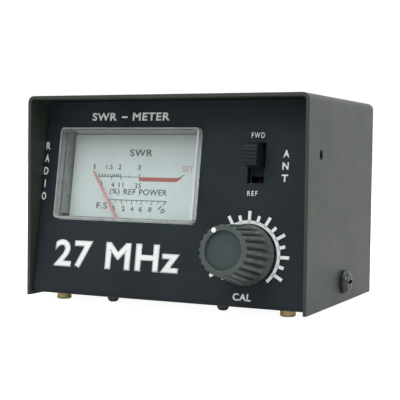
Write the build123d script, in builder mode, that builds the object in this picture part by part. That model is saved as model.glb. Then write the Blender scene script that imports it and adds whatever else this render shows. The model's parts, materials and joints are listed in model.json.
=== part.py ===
from build123d import *
import math
import os

# SWR meter: a folded steel case with a sloped front panel, a rectangular moving-coil meter,
# a slide switch and a potentiometer in front, and two SO-239 sockets joined by a directional
# coupler board behind. Millimetres, +Z up, the front looks along -Y. The origin is at the
# middle of the whole object in X and Y, at the height of the surface that it stands on.

# ---------------------------------------------------------------- driving dimensions

# Case
case_width = 90.0
case_depth = 62.0
case_height = 60.5
sheet = 1.0
cover_bend = 2.0
chassis_bend = 1.5
side_gap = 0.3
cover_lift = 1.5  # the cover's lower edge above the surface below
plate_lift = 2.25  # the underside of the chassis above that surface
top_gap = 0.25
rear_recess = 1.0

# Front panel: leans back from its lower edge
panel_tilt = 9.0
panel_inset = 1.0

# Case fasteners
cover_screw_from_front = 32.7
cover_screw_height = 7.7
side_hole_from_front = 10.5
side_hole_height = 45.2
side_hole_radius = 1.45
cover_hole_radius = 1.85
foot_across = 36.8
foot_from_front = 8.2
foot_from_rear = 8.2
foot_head_radius = 2.2
foot_hole_radius = 1.6
bracket_screw_across = 18.0
bracket_screw_from_front = 5.8
bracket_head_height = 1.7
bracket_hole_radius = 1.2
rail_width = 10.4
rail_height = 9.0
rail_end_gap = 4.5

# Meter, in panel coordinates: across, up, and out of the panel
meter_across = -14.1
window_up = 36.9
window_width = 47.0
window_height = 27.9
window_stand = 2.3
window_wall = 0.8
window_front = 1.2
window_corner = 1.2
window_rim_fillet = 0.5
window_gap = 0.2
flange_thickness = 1.25
meter_seat = 0.05
case_outline_width = 50.4
case_low = 5.8
case_high = 52.3
meter_depth = 21.5
meter_wall = 1.2
dial_depth = 6.2
dial_thickness = 0.6
pivot_across = -13.5
pivot_up = 15.6
needle_length = 27.2
needle_root_width = 0.9
needle_tip_width = 0.64
needle_depth = 5.0
needle_thickness = 0.3
needle_rest = 33.5  # degrees anticlockwise of straight up
core_radius = 5.2
gap_outer_radius = 6.9
yoke_radius = 8.2
yoke_front = 8.6
yoke_rear = 15.4
coil_radius = 6.5
coil_wall = 1.0
coil_width = 1.6
coil_front = 7.3
coil_rear = 16.7
bridge_thickness = 0.75
front_bridge_depth = 3.2
rear_bridge_depth = 19.2
terminal_offset = 8.0
terminal_up = 30.0
terminal_end = 26.0

# Slide switch
switch_across = 27.0
slot_up = 41.0
slot_width = 5.2
slot_length = 11.7
handle_width = 4.0
handle_length = 7.0
handle_stand = 5.5
handle_corner = 1.9
handle_nose = 2.8
handle_toe = 0.7
rib_width = 0.5
rib_depth = 0.35
rib_shift = -0.75
slider_overlap = 2.1
switch_travel = 4.2
switch_body_width = 9.0
switch_body_length = 16.0
switch_front = 2.4
shell_wall = 0.4

# Potentiometer and knob
knob_across = 25.95
knob_up = 14.85
shaft_radius = 3.0
running_gap = 0.06
bushing_radius = 3.5
bushing_stand = 5.0
pot_radius = 8.2
pot_depth = 9.0
knob_base = 0.8
knob_length = 16.7
knob_base_radius = 8.6
knob_front_radius = 7.0
knob_rim_fillet = 0.4
knob_flutes = 22
knob_cap_radius = 5.4

# Control board, parallel to the panel
board_thickness = 1.6
control_depth = 10.0
control_width = 25.0
control_low = 6.0
control_high = 52.0

# Coaxial sockets on the rear panel
socket_across = 22.0
socket_height = 31.5
flange_size = 25.4
flange_plate = 1.6
flange_hole_spacing = 18.2
flange_hole_radius = 1.65
barrel_radius = 7.94
barrel_length = 15.4
barrel_bore_radius = 6.1
insulator_recess = 5.0
insulator_tail = 2.8
contact_radius = 2.7
contact_bore_radius = 2.0
contact_bore_length = 11.0
contact_tip_recess = 1.0
contact_tail_radius = 1.7
contact_tail_length = 10.5
contact_slot_width = 0.4
contact_slot_length = 3.5
rim_notches = 12
rim_notch_width = 0.9
rim_notch_depth = 0.8

# Directional coupler board
coupler_gap = 6.0
coupler_width = 68.0
coupler_height = 34.0
line_width = 4.0
sense_offset = 5.0
sense_width = 1.4
sense_length = 18.0
copper = 0.2
small_screw_radius = 1.5
small_nut_flats = 5.5
small_nut_height = 2.4
small_hole_radius = 1.6
part_column = 7.0
part_offset = 9.0

wire_radius = 0.6

# ---------------------------------------------------------------- derived places

lean_sin = math.sin(math.radians(panel_tilt))
lean_cos = math.cos(math.radians(panel_tilt))

knob_reach = (
    (knob_length - knob_rim_fillet) * lean_cos
    + (knob_front_radius - knob_rim_fillet) * lean_sin
    + knob_rim_fillet
    - panel_inset
    - knob_up * lean_sin
)
socket_reach = flange_plate + barrel_length - rear_recess
front_y = knob_reach - (knob_reach + case_depth + socket_reach) / 2
rear_y = front_y + case_depth
cover_top = cover_lift + case_height
floor_top = plate_lift + sheet
inner_half = case_width / 2 - sheet
chassis_half = inner_half - side_gap
rear_face = rear_y - rear_recess
rear_inner = rear_face - sheet
chassis_top = cover_top - sheet - top_gap
panel_height = (chassis_top - plate_lift) / lean_cos
meter_back = meter_depth - meter_wall
coupler_back = rear_inner - coupler_gap
coupler_front = coupler_back - board_thickness

panel = Plane(
    origin=(0, front_y + panel_inset, plate_lift),
    x_dir=(1, 0, 0),
    z_dir=(0, -lean_cos, lean_sin),
)

upward = (Align.CENTER, Align.CENTER, Align.MIN)
downward = (Align.CENTER, Align.CENTER, Align.MAX)


def panel_point(across, up, out):
    """A point given across the panel, up it and out of it."""
    return panel.from_local_coords((across, up, out))


def on_panel(across, up, out=0.0, turn=0.0):
    """A plane parallel to the front panel at such a point, turned anticlockwise by some degrees."""
    angle = math.radians(turn)
    x_dir = panel.x_dir * math.cos(angle) + panel.y_dir * math.sin(angle)
    return Plane(origin=panel_point(across, up, out), x_dir=x_dir, z_dir=panel.z_dir)


def at_rear(across, height, y):
    """A plane facing backwards, along +Y."""
    return Plane(origin=(across, y, height), x_dir=(-1, 0, 0), z_dir=(0, 1, 0))


def on_coupler(across, height, x_dir=(1, 0, 0)):
    """A plane on the coupler board's front face, facing forwards."""
    return Plane(origin=(across, coupler_front, height), x_dir=x_dir, z_dir=(0, -1, 0))


def keep(piece, name):
    """Label a finished sub-part and write it out."""
    piece.part.label = name
    export_step(piece.part, f"parts/{name}.step")


def cross_recess_screw(head_radius, head_height, shank_radius, length):
    """Domed screw standing head-up on its seat at z = 0, with a cross recess in the head."""
    recess_depth = head_height * 0.5
    recess_width = head_radius * 0.3
    with BuildPart() as body:
        Cylinder(shank_radius, length, align=downward)
        Cylinder(head_radius, head_height, align=upward)
        fillet(body.edges().sort_by(Axis.Z)[-1], head_height * 0.7)
        with BuildSketch(Plane.XY.offset(head_height)):
            Rectangle(head_radius * 1.15, recess_width)
            Rectangle(recess_width, head_radius * 1.15)
        extrude(amount=-recess_depth, taper=8, mode=Mode.SUBTRACT)
    return body.part


def slotted_screw(head_radius, head_height, shank_radius, length):
    """Flat-headed screw standing head-up on its seat at z = 0, with a straight slot."""
    with BuildPart() as body:
        Cylinder(shank_radius, length, align=downward)
        Cylinder(head_radius, head_height, align=upward)
        chamfer(body.edges().sort_by(Axis.Z)[-1], head_height * 0.12)
        with Locations((0, 0, head_height)):
            Box(head_radius * 3, head_radius * 0.32, head_height * 0.8, mode=Mode.SUBTRACT)
    return body.part


def hex_piece(across_flats, height, bore_radius):
    """Hexagonal nut or spacer standing on z = 0."""
    with BuildPart() as body:
        with BuildSketch():
            RegularPolygon(across_flats / 2, 6, major_radius=False)
            Circle(bore_radius, mode=Mode.SUBTRACT)
        extrude(amount=height)
    return body.part


def axial_part(body_radius, body_length, span, stand):
    """Leaded part lying along X over a board at z = 0, its leads bent down to the board."""
    with BuildPart() as body:
        with BuildLine() as lead:
            FilletPolyline(
                (-span / 2, 0, 0), (-span / 2, 0, stand), (span / 2, 0, stand), (span / 2, 0, 0), radius=0.6
            )
        with BuildSketch(Plane(origin=lead.line @ 0, z_dir=lead.line % 0)):
            Circle(0.25)
        sweep()
        with Locations((0, 0, stand)):
            Cylinder(body_radius, body_length, rotation=(0, 90, 0))
        fillet(body.edges().filter_by(GeomType.CIRCLE).group_by(SortBy.RADIUS)[-1], body_radius * 0.3)
    return body.part


def disc_capacitor():
    """Ceramic disc on edge over a board at z = 0, its two leads side by side in X."""
    with BuildPart() as body:
        with Locations((0, 0, 4.4)):
            Cylinder(2.5, 1.4, rotation=(90, 0, 0))
        fillet(body.edges(), 0.4)
        with Locations((-1.4, 0, 0), (1.4, 0, 0)):
            Cylinder(0.25, 3.6, align=upward)
    return body.part


def hookup_wire(points, radius):
    """Insulated wire along straight runs joined by arcs."""
    with BuildPart() as wire:
        with BuildLine() as route:
            FilletPolyline(*points, radius=radius)
        with BuildSketch(Plane(origin=route.line @ 0, z_dir=route.line % 0)):
            Circle(wire_radius)
        sweep()
    return wire.part


os.makedirs("parts", exist_ok=True)

# ---------------------------------------------------------------- case

side_hole_centres = [
    (front_y + cover_screw_from_front, cover_screw_height, cover_hole_radius),
    (front_y + side_hole_from_front, side_hole_height, side_hole_radius),
]

with BuildPart() as top_cover:
    with BuildSketch(Plane.XZ.offset(-rear_y)):
        with BuildLine():
            FilletPolyline(
                (-case_width / 2, cover_lift),
                (-case_width / 2, cover_top),
                (case_width / 2, cover_top),
                (case_width / 2, cover_lift),
                radius=cover_bend,
            )
            offset(amount=sheet, side=Side.RIGHT)
        make_face()
    extrude(amount=case_depth)
    with BuildSketch(Plane.YZ.offset(-case_width)):
        for hole_y, hole_z, hole_radius in side_hole_centres:
            with Locations((hole_y, hole_z)):
                Circle(hole_radius)
    extrude(amount=2 * case_width, mode=Mode.SUBTRACT)
keep(top_cover, "top_cover")

panel_top = panel_point(0, panel_height, 0)
foot_places = [
    (side * foot_across, y)
    for side in (-1, 1)
    for y in (front_y + foot_from_front, rear_y - foot_from_rear)
]
bracket_screw_places = [
    (side * bracket_screw_across, front_y + bracket_screw_from_front) for side in (-1, 1)
]
socket_places = [(-socket_across, socket_height), (socket_across, socket_height)]

with BuildPart() as chassis:
    with BuildSketch(Plane.YZ.offset(-chassis_half)):
        with BuildLine():
            FilletPolyline(
                (panel_top.Y, panel_top.Z),
                (front_y + panel_inset, plate_lift),
                (rear_face, plate_lift),
                (rear_face, chassis_top),
                radius=chassis_bend,
            )
            offset(amount=sheet, side=Side.LEFT)
        make_face()
    extrude(amount=2 * chassis_half)
    with BuildSketch(on_panel(0, 0, sheet)):
        with Locations((meter_across, window_up)):
            RectangleRounded(
                window_width + 2 * window_gap, window_height + 2 * window_gap, window_corner + window_gap
            )
        with Locations((switch_across, slot_up)):
            RectangleRounded(slot_width, slot_length, 0.4)
        with Locations((knob_across, knob_up)):
            Circle(bushing_radius + 0.1)
    extrude(amount=-3 * sheet, mode=Mode.SUBTRACT)
    with BuildSketch(Plane.XZ.offset(-rear_y)):
        with Locations(*socket_places):
            Circle(barrel_bore_radius + 0.3)
            with GridLocations(flange_hole_spacing, flange_hole_spacing, 2, 2):
                Circle(flange_hole_radius)
    extrude(amount=3 * sheet, mode=Mode.SUBTRACT)
    with BuildSketch(Plane.XY):
        with Locations(*foot_places):
            Circle(foot_hole_radius)
        with Locations(*bracket_screw_places):
            Circle(bracket_hole_radius)
    extrude(amount=floor_top, mode=Mode.SUBTRACT)
keep(chassis, "chassis")

rail_outer = inner_half - side_gap / 3
with BuildPart() as side_rails:
    with BuildSketch(Plane.XZ.offset(-(rear_inner - rail_end_gap))):
        with BuildLine():
            FilletPolyline(
                (rail_outer - rail_width, floor_top),
                (rail_outer, floor_top),
                (rail_outer, floor_top + rail_height),
                radius=1.2,
            )
            offset(amount=sheet, side=Side.LEFT)
        make_face()
    extrude(amount=rear_inner - front_y - 2 * rail_end_gap)
    with BuildSketch(Plane.YZ):
        with Locations((front_y + cover_screw_from_front, cover_screw_height)):
            Circle(cover_hole_radius)
    extrude(amount=case_width, mode=Mode.SUBTRACT)
    with BuildSketch(Plane.XY):
        with Locations(*foot_places):
            Circle(foot_hole_radius)
    extrude(amount=floor_top + 2 * sheet, mode=Mode.SUBTRACT)
    mirror(about=Plane.YZ)
keep(side_rails, "side_rails")

cover_screw = cross_recess_screw(head_radius=3.5, head_height=2.3, shank_radius=1.75, length=6.0)
with BuildPart() as cover_screws:
    for side in (-1, 1):
        seat = (side * case_width / 2, front_y + cover_screw_from_front, cover_screw_height)
        with Locations(Plane(origin=seat, x_dir=(0, 1, 0), z_dir=(side, 0, 0))):
            add(cover_screw)
keep(cover_screws, "cover_screws")

bottom_screw = slotted_screw(foot_head_radius, plate_lift, shank_radius=small_screw_radius, length=4.0)
with BuildPart() as bottom_screws:
    for x, y in foot_places:
        with Locations(Plane(origin=(x, y, plate_lift), x_dir=(1, 0, 0), z_dir=(0, 0, -1))):
            add(bottom_screw)
keep(bottom_screws, "bottom_screws")

bracket_screw = cross_recess_screw(
    head_radius=1.7, head_height=bracket_head_height, shank_radius=1.1, length=2.6
)
with BuildPart() as bracket_screws:
    for x, y in bracket_screw_places:
        with Locations(Plane(origin=(x, y, plate_lift), x_dir=(1, 0, 0), z_dir=(0, 0, -1))):
            add(bracket_screw)
keep(bracket_screws, "bracket_screws")

# ---------------------------------------------------------------- meter housing

flange_back = meter_seat + sheet + flange_thickness
case_mid = (case_low + case_high) / 2
case_outline_height = case_high - case_low
window_inner_width = window_width - 2 * window_wall
window_inner_height = window_height - 2 * window_wall
window_inner_corner = window_corner / 2
dial_width = window_inner_width - window_gap
dial_height = window_inner_height - window_gap
window_bottom = window_up - window_height / 2
curtain_depth = dial_depth + dial_thickness + 0.2
case_corner = 1.5
dial_post_radius = 1.5
dial_post_offset = 20.5
dial_post_rise = 9.5
movement_post_radius = 2.0
movement_post_offset = 10.2
terminal_radius = 1.25

with BuildPart() as meter_lens:
    with BuildSketch(on_panel(meter_across, case_mid, -flange_back)):
        RectangleRounded(case_outline_width, case_outline_height, case_corner)
    extrude(amount=flange_thickness)
    with BuildSketch(on_panel(meter_across, window_up, -curtain_depth)):
        RectangleRounded(window_width, window_height, window_corner)
    extrude(amount=curtain_depth + window_stand)
    rim = meter_lens.faces().sort_by(Axis(panel.origin, panel.z_dir))[-1]
    fillet(rim.edges(), window_rim_fillet)
    with BuildSketch(on_panel(meter_across, window_up, window_stand - window_front)):
        RectangleRounded(window_inner_width, window_inner_height, window_inner_corner)
    extrude(amount=-(curtain_depth + window_stand), mode=Mode.SUBTRACT)
    with BuildSketch(on_panel(meter_across, window_bottom, -flange_back)):
        Rectangle(window_width + 1, 4)
    extrude(amount=-curtain_depth, mode=Mode.SUBTRACT)
keep(meter_lens, "meter_lens")

dial_post_places = [
    (meter_across + side * dial_post_offset, window_up + end * dial_post_rise)
    for side in (-1, 1)
    for end in (-1, 1)
]
movement_post_places = [(pivot_across + side * movement_post_offset, pivot_up) for side in (-1, 1)]
terminal_places = [(meter_across + side * terminal_offset, terminal_up) for side in (-1, 1)]

with BuildPart() as meter_case:
    with BuildSketch(on_panel(meter_across, case_mid, -meter_depth)):
        RectangleRounded(case_outline_width, case_outline_height, case_corner)
    extrude(amount=meter_depth - flange_back)
    back = meter_case.faces().sort_by(Axis(panel.origin, panel.z_dir))[0]
    fillet(back.edges(), 1.0)
    with BuildSketch(on_panel(meter_across, case_mid, -meter_back)):
        RectangleRounded(case_outline_width - 2 * meter_wall, case_outline_height - 2 * meter_wall, 0.6)
    extrude(amount=meter_depth, mode=Mode.SUBTRACT)
    with BuildSketch(on_panel(0, 0, -meter_back)):
        with Locations(*dial_post_places):
            Circle(dial_post_radius)
    extrude(amount=meter_back - dial_depth - dial_thickness)
    with BuildSketch(on_panel(0, 0, -meter_back)):
        with Locations(*movement_post_places):
            Circle(movement_post_radius)
    extrude(amount=meter_back - yoke_rear)
    with BuildSketch(on_panel(0, 0, -meter_depth)):
        with Locations(*terminal_places):
            Circle(terminal_radius + 0.05)
    extrude(amount=meter_depth - meter_back, mode=Mode.SUBTRACT)
    with BuildSketch(on_panel(0, 0, -yoke_rear)):
        with Locations(*movement_post_places):
            Circle(0.85)
    extrude(amount=-3.5, mode=Mode.SUBTRACT)
keep(meter_case, "meter_case")

with BuildPart() as dial_plate:
    with BuildSketch(on_panel(meter_across, window_up, -dial_depth - dial_thickness)):
        RectangleRounded(dial_width, dial_height, window_inner_corner)
    extrude(amount=dial_thickness)
keep(dial_plate, "dial_plate")

with BuildPart() as meter_terminals:
    for across, up in terminal_places:
        with BuildSketch(on_panel(across, up, -terminal_end)):
            Circle(terminal_radius)
        extrude(amount=terminal_end - meter_back + 1.0)
        with BuildSketch(on_panel(across, up, -meter_depth - 0.8)):
            RegularPolygon(2.2, 6, major_radius=False)
        extrude(amount=0.8)
keep(meter_terminals, "meter_terminals")

leg_depth = meter_depth + 0.05
leg_width = 9.0
leg_height = 38.0
leg_bend = 1.3
fold_up = (floor_top - plate_lift + leg_depth * lean_sin) / lean_cos
fold = panel_point(0, fold_up, -leg_depth)
leg_top = panel_point(0, leg_height, -leg_depth)
bracket_front = front_y + 3.6

with BuildPart() as meter_bracket:
    with BuildSketch(Plane.XY.offset(floor_top)):
        with Locations((0, (bracket_front + fold.Y - 2) / 2)):
            Rectangle(2 * bracket_screw_across + 8, fold.Y - 2 - bracket_front)
    extrude(amount=sheet)
    with BuildSketch(Plane.YZ.offset(meter_across - leg_width / 2)):
        with BuildLine():
            FilletPolyline(
                (bracket_front, floor_top),
                (fold.Y + sheet, floor_top),
                (leg_top.Y + sheet, leg_top.Z),
                radius=leg_bend,
            )
            offset(amount=sheet * lean_cos, side=Side.LEFT)
        make_face()
    extrude(amount=leg_width)
    with BuildSketch(Plane.XY.offset(floor_top)):
        with Locations(*bracket_screw_places):
            Circle(bracket_hole_radius)
    extrude(amount=sheet, mode=Mode.SUBTRACT)
keep(meter_bracket, "meter_bracket")

# ---------------------------------------------------------------- meter movement

core_length = yoke_rear - yoke_front
core_mid = (yoke_rear + yoke_front) / 2
yoke_lug_length = 25.0
yoke_lug_width = 4.6
yoke_lug_thickness = 1.6

with BuildPart() as meter_yoke:
    with BuildSketch(on_panel(pivot_across, pivot_up, -yoke_rear)):
        Circle(yoke_radius)
        Circle(gap_outer_radius, mode=Mode.SUBTRACT)
    extrude(amount=core_length)
    with BuildSketch(on_panel(pivot_across, pivot_up, -yoke_rear)):
        Rectangle(yoke_lug_length, yoke_lug_width)
        Circle(gap_outer_radius, mode=Mode.SUBTRACT)
    extrude(amount=yoke_lug_thickness)
    with BuildSketch(on_panel(0, 0, -yoke_rear)):
        with Locations(*movement_post_places):
            Circle(1.1)
    extrude(amount=yoke_lug_thickness, mode=Mode.SUBTRACT)
keep(meter_yoke, "meter_yoke")

with BuildPart(on_panel(pivot_across, pivot_up, -core_mid)) as magnet_core:
    Cylinder(core_radius, core_length)
keep(magnet_core, "magnet_core")

with BuildPart() as core_spacers:
    with BuildSketch(on_panel(pivot_across, pivot_up, -yoke_rear + 1.0)):
        Circle(gap_outer_radius)
        Circle(core_radius, mode=Mode.SUBTRACT)
        Rectangle(3.0, 2 * yoke_radius, mode=Mode.INTERSECT)
    extrude(amount=core_length - 2.0)
keep(core_spacers, "core_spacers")

movement_screw = slotted_screw(head_radius=1.5, head_height=0.9, shank_radius=0.8, length=4.4)
with BuildPart() as movement_screws:
    for across, up in movement_post_places:
        with Locations(on_panel(across, up, -yoke_rear + yoke_lug_thickness)):
            add(movement_screw)
keep(movement_screws, "movement_screws")

bridge_leg_inner = 7.3
bridge_leg_outer = 8.2
bridge_width = 3.2


def bridge(plate_out, leg_end_out):
    """Flat bar across the movement on two legs; places are distances out of the panel."""
    plate_side = 1 if leg_end_out > plate_out else -1
    with BuildPart() as body:
        with BuildSketch(on_panel(pivot_across, pivot_up, plate_out)):
            Rectangle(2 * bridge_leg_outer, bridge_width)
            Circle(1.0, mode=Mode.SUBTRACT)
        extrude(amount=-plate_side * bridge_thickness)
        with BuildSketch(on_panel(pivot_across, pivot_up, plate_out)):
            Rectangle(2 * bridge_leg_outer, bridge_width)
            Rectangle(2 * bridge_leg_inner, bridge_width, mode=Mode.SUBTRACT)
        extrude(amount=leg_end_out - plate_out)
    return body.part


front_bridge_shape = bridge(-front_bridge_depth, -yoke_front)
rear_bridge_shape = bridge(-rear_bridge_depth + bridge_thickness, -yoke_rear)
with BuildPart() as front_bridge:
    add(front_bridge_shape)
keep(front_bridge, "front_bridge")

with BuildPart() as rear_bridge:
    add(rear_bridge_shape)
keep(rear_bridge, "rear_bridge")

jewel_radius = 1.0
jewel_length = 1.15
jewel_cup_radius = 0.45
jewel_cup_depth = 0.4
front_jewel_end = front_bridge_depth + jewel_cup_depth
rear_jewel_end = rear_bridge_depth - bridge_thickness - jewel_cup_depth
with BuildPart() as jewel_screws:
    with BuildSketch(on_panel(pivot_across, pivot_up, -front_jewel_end)):
        Circle(jewel_radius)
    extrude(amount=jewel_length)
    with BuildSketch(on_panel(pivot_across, pivot_up, -front_jewel_end)):
        Circle(jewel_cup_radius)
    extrude(amount=jewel_cup_depth, mode=Mode.SUBTRACT)
    with BuildSketch(on_panel(pivot_across, pivot_up, -rear_jewel_end)):
        Circle(jewel_radius)
    extrude(amount=-jewel_length)
    with BuildSketch(on_panel(pivot_across, pivot_up, -rear_jewel_end)):
        Circle(jewel_cup_radius)
    extrude(amount=-jewel_cup_depth, mode=Mode.SUBTRACT)
keep(jewel_screws, "jewel_screws")


def turned(out):
    """Plane on the pivot axis, turned so that its y axis lies along the needle at rest."""
    return on_panel(pivot_across, pivot_up, out, turn=needle_rest)


needle_back = -needle_depth
hub_radius = 1.3
staff_radius = 0.4
tail_length = 6.4
root_half = needle_root_width / 2
tip_half = needle_tip_width / 2
with BuildPart() as pointer:
    with BuildSketch(turned(needle_back)):
        with BuildLine():
            Polyline(
                (-root_half, -tail_length), (root_half, -tail_length), (root_half, 0),
                (tip_half, needle_length), (-tip_half, needle_length), (-root_half, 0), close=True,
            )
        make_face()
        Circle(hub_radius)
        Circle(staff_radius, mode=Mode.SUBTRACT)
    extrude(amount=needle_thickness)
keep(pointer, "pointer")

with BuildPart() as counterweight:
    with BuildSketch(turned(needle_back)):
        with Locations((0, -5.0)):
            Circle(1.4)
    extrude(amount=-1.1)
keep(counterweight, "counterweight")

with BuildPart(turned(-(coil_front + coil_rear) / 2)) as moving_coil:
    Box(2 * coil_radius, coil_width, coil_rear - coil_front)
    inner_length = coil_rear - coil_front - 1.4
    Box(2 * (coil_radius - coil_wall), coil_width, inner_length, mode=Mode.SUBTRACT)
keep(moving_coil, "moving_coil")

spring_inner = 0.8
spring_step = 0.32
spring_height = 0.25
spring_wire = 0.14
staff_front = front_jewel_end - 0.3
staff_rear = rear_jewel_end + 0.3
front_spring_back = -needle_depth + needle_thickness + 0.05
rear_spring_front = -coil_rear - spring_height - 0.1
with BuildPart() as pivot_staffs:
    with BuildSketch(turned(-coil_front)):
        Circle(staff_radius)
    extrude(amount=coil_front - staff_front)
    with BuildSketch(turned(-coil_rear)):
        Circle(staff_radius)
    extrude(amount=-(staff_rear - coil_rear))
keep(pivot_staffs, "pivot_staffs")

with BuildPart() as hairsprings:
    for spring_face in (front_spring_back, rear_spring_front):
        with BuildSketch(turned(spring_face)):
            with BuildLine():
                centre_x = 0.0
                for turn in range(7):
                    radius = spring_inner + spring_step * turn
                    start = 0 if turn % 2 == 0 else 180
                    CenterArc((centre_x, 0), radius, start, 180)
                    centre_x += spring_step if turn % 2 == 0 else -spring_step
            trace(line_width=spring_wire)
            Circle(spring_inner + 0.05)
            Circle(staff_radius, mode=Mode.SUBTRACT)
        extrude(amount=spring_height)
keep(hairsprings, "hairsprings")

# ---------------------------------------------------------------- slide switch

rest_shift = switch_travel / 2
shell_inner_front = switch_front + shell_wall
base_front = control_depth - 1.6
column_half = 2.6
contact_face = base_front - 0.4

with BuildPart() as switch_shell:
    with BuildSketch(on_panel(switch_across, slot_up, -control_depth)):
        Rectangle(switch_body_width + 2 * shell_wall, switch_body_length + 2 * shell_wall)
    extrude(amount=control_depth - switch_front)
    shell_front = switch_shell.faces().sort_by(Axis(panel.origin, panel.z_dir))[-1]
    fillet(shell_front.edges(), 0.3)
    with BuildSketch(on_panel(switch_across, slot_up, -control_depth)):
        Rectangle(switch_body_width, switch_body_length)
    extrude(amount=control_depth - shell_inner_front, mode=Mode.SUBTRACT)
    with BuildSketch(on_panel(switch_across, slot_up, -control_depth)):
        Rectangle(handle_width + 0.4, handle_length + switch_travel + 0.4)
    extrude(amount=control_depth, mode=Mode.SUBTRACT)
keep(switch_shell, "switch_shell")

terminal_rows = [(side * column_half, row * switch_travel) for side in (-1, 1) for row in (-1, 0, 1)]
with BuildPart() as switch_base:
    with BuildSketch(on_panel(switch_across, slot_up, -control_depth)):
        Rectangle(switch_body_width, switch_body_length)
        with Locations(*terminal_rows):
            Circle(0.45, mode=Mode.SUBTRACT)
    extrude(amount=control_depth - base_front)
keep(switch_base, "switch_base")

with BuildPart() as switch_terminals:
    with BuildSketch(on_panel(switch_across, slot_up, -base_front)):
        with Locations(*terminal_rows):
            Circle(0.4)
    extrude(amount=-(control_depth - base_front + board_thickness + 1.2))
    with BuildSketch(on_panel(switch_across, slot_up, -base_front)):
        with Locations(*terminal_rows):
            Circle(0.9)
    extrude(amount=0.4)
keep(switch_terminals, "switch_terminals")

slider_up = slot_up + rest_shift
slider_front = shell_inner_front + 0.2
slider_back = slider_front + 1.6
rib_pitch = 1.05
handle_side = Plane(
    origin=panel_point(switch_across - handle_width / 2, slider_up, 0), x_dir=panel.y_dir, z_dir=(1, 0, 0)
)
with BuildPart() as switch_actuator:
    with BuildSketch(handle_side):
        with BuildLine():
            Polyline(
                (-handle_length / 2, -slider_front),
                (-handle_length / 2, handle_stand - handle_toe),
                (-handle_length / 2 + handle_toe, handle_stand),
                (handle_length / 2 - handle_nose, handle_stand),
            )
            RadiusArc(
                (handle_length / 2 - handle_nose, handle_stand),
                (handle_length / 2, handle_stand - handle_nose),
                handle_nose,
            )
            Polyline(
                (handle_length / 2, handle_stand - handle_nose),
                (handle_length / 2, -slider_front),
                (-handle_length / 2, -slider_front),
            )
        make_face()
    extrude(amount=handle_width)
    with BuildSketch(on_panel(switch_across, slider_up, -slider_front)):
        Rectangle(handle_width, handle_length)
        fillet(vertices().group_by(Axis.Y)[-1], handle_corner)
    extrude(amount=slider_front + handle_stand, mode=Mode.INTERSECT)
    with BuildSketch(on_panel(switch_across, slider_up, -slider_back)):
        Rectangle(switch_body_width - 0.6, handle_length + 2 * slider_overlap)
    extrude(amount=slider_back - slider_front)
    with BuildSketch(on_panel(switch_across, slider_up + rib_shift, handle_stand)):
        with GridLocations(1, rib_pitch, 1, 5):
            Rectangle(handle_width + 1, rib_width)
    extrude(amount=-rib_depth, mode=Mode.SUBTRACT)
keep(switch_actuator, "switch_actuator")

clip_face = contact_face - 0.15
with BuildPart() as switch_contacts:
    for side in (-1, 1):
        with BuildSketch(on_panel(switch_across + side * column_half, slider_up, -slider_back - 0.4)):
            Rectangle(1.6, switch_travel + 1.6)
        extrude(amount=0.4)
        with BuildSketch(on_panel(switch_across + side * column_half, slider_up, -slider_back - 0.4)):
            with GridLocations(1, switch_travel, 1, 2):
                Circle(0.6)
        extrude(amount=-(clip_face - slider_back - 0.4))
keep(switch_contacts, "switch_contacts")

# ---------------------------------------------------------------- potentiometer

pot_plate = 1.0
pot_front = sheet + pot_plate
track_front = 6.7
track_back = track_front + 1.0
tab_up = 10.6
tab_width = 12.4
lug_spacing = 5.0

with BuildPart() as pot_bushing:
    with BuildSketch(on_panel(knob_across, knob_up, -pot_front)):
        Circle(pot_radius)
    extrude(amount=pot_plate)
    with BuildSketch(on_panel(knob_across, knob_up, -sheet)):
        Circle(bushing_radius)
    extrude(amount=sheet + bushing_stand)
    with BuildSketch(on_panel(knob_across, knob_up, -pot_front)):
        Circle(shaft_radius + running_gap)
    extrude(amount=pot_front + bushing_stand, mode=Mode.SUBTRACT)
keep(pot_bushing, "pot_bushing")

with BuildPart() as pot_can:
    with BuildSketch(on_panel(knob_across, knob_up, -pot_depth)):
        Circle(pot_radius)
    extrude(amount=pot_depth - pot_front)
    can_back = pot_can.faces().sort_by(Axis(panel.origin, panel.z_dir))[0]
    fillet(can_back.edges(), 0.5)
    with BuildSketch(on_panel(knob_across, knob_up, -pot_depth + 0.6)):
        Circle(pot_radius - 0.5)
    extrude(amount=pot_depth, mode=Mode.SUBTRACT)
    with BuildSketch(on_panel(knob_across, knob_up + pot_radius, -track_back - 0.6)):
        Rectangle(tab_width + 0.4, 8.0)
    extrude(amount=track_back - track_front + 0.8, mode=Mode.SUBTRACT)
keep(pot_can, "pot_can")

with BuildPart() as pot_track:
    with BuildSketch(on_panel(knob_across, knob_up, -track_back)):
        Circle(pot_radius - 0.6)
        with Locations((0, tab_up / 2)):
            Rectangle(tab_width, tab_up)
    extrude(amount=track_back - track_front)
keep(pot_track, "pot_track")

lug_up = tab_up - 0.5
with BuildPart() as pot_terminals:
    with BuildSketch(on_panel(knob_across, knob_up + lug_up, -track_back - 0.4)):
        with Locations((-lug_spacing, -1.0), (0, -1.0), (lug_spacing, -1.0)):
            Rectangle(1.0, 2.4)
    extrude(amount=0.4)
    with BuildSketch(on_panel(knob_across, knob_up + lug_up, -track_back)):
        with GridLocations(lug_spacing, 1, 3, 1):
            Rectangle(1.0, 0.4)
    extrude(amount=-(control_depth + board_thickness + 1.2 - track_back))
keep(pot_terminals, "pot_terminals")

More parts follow.
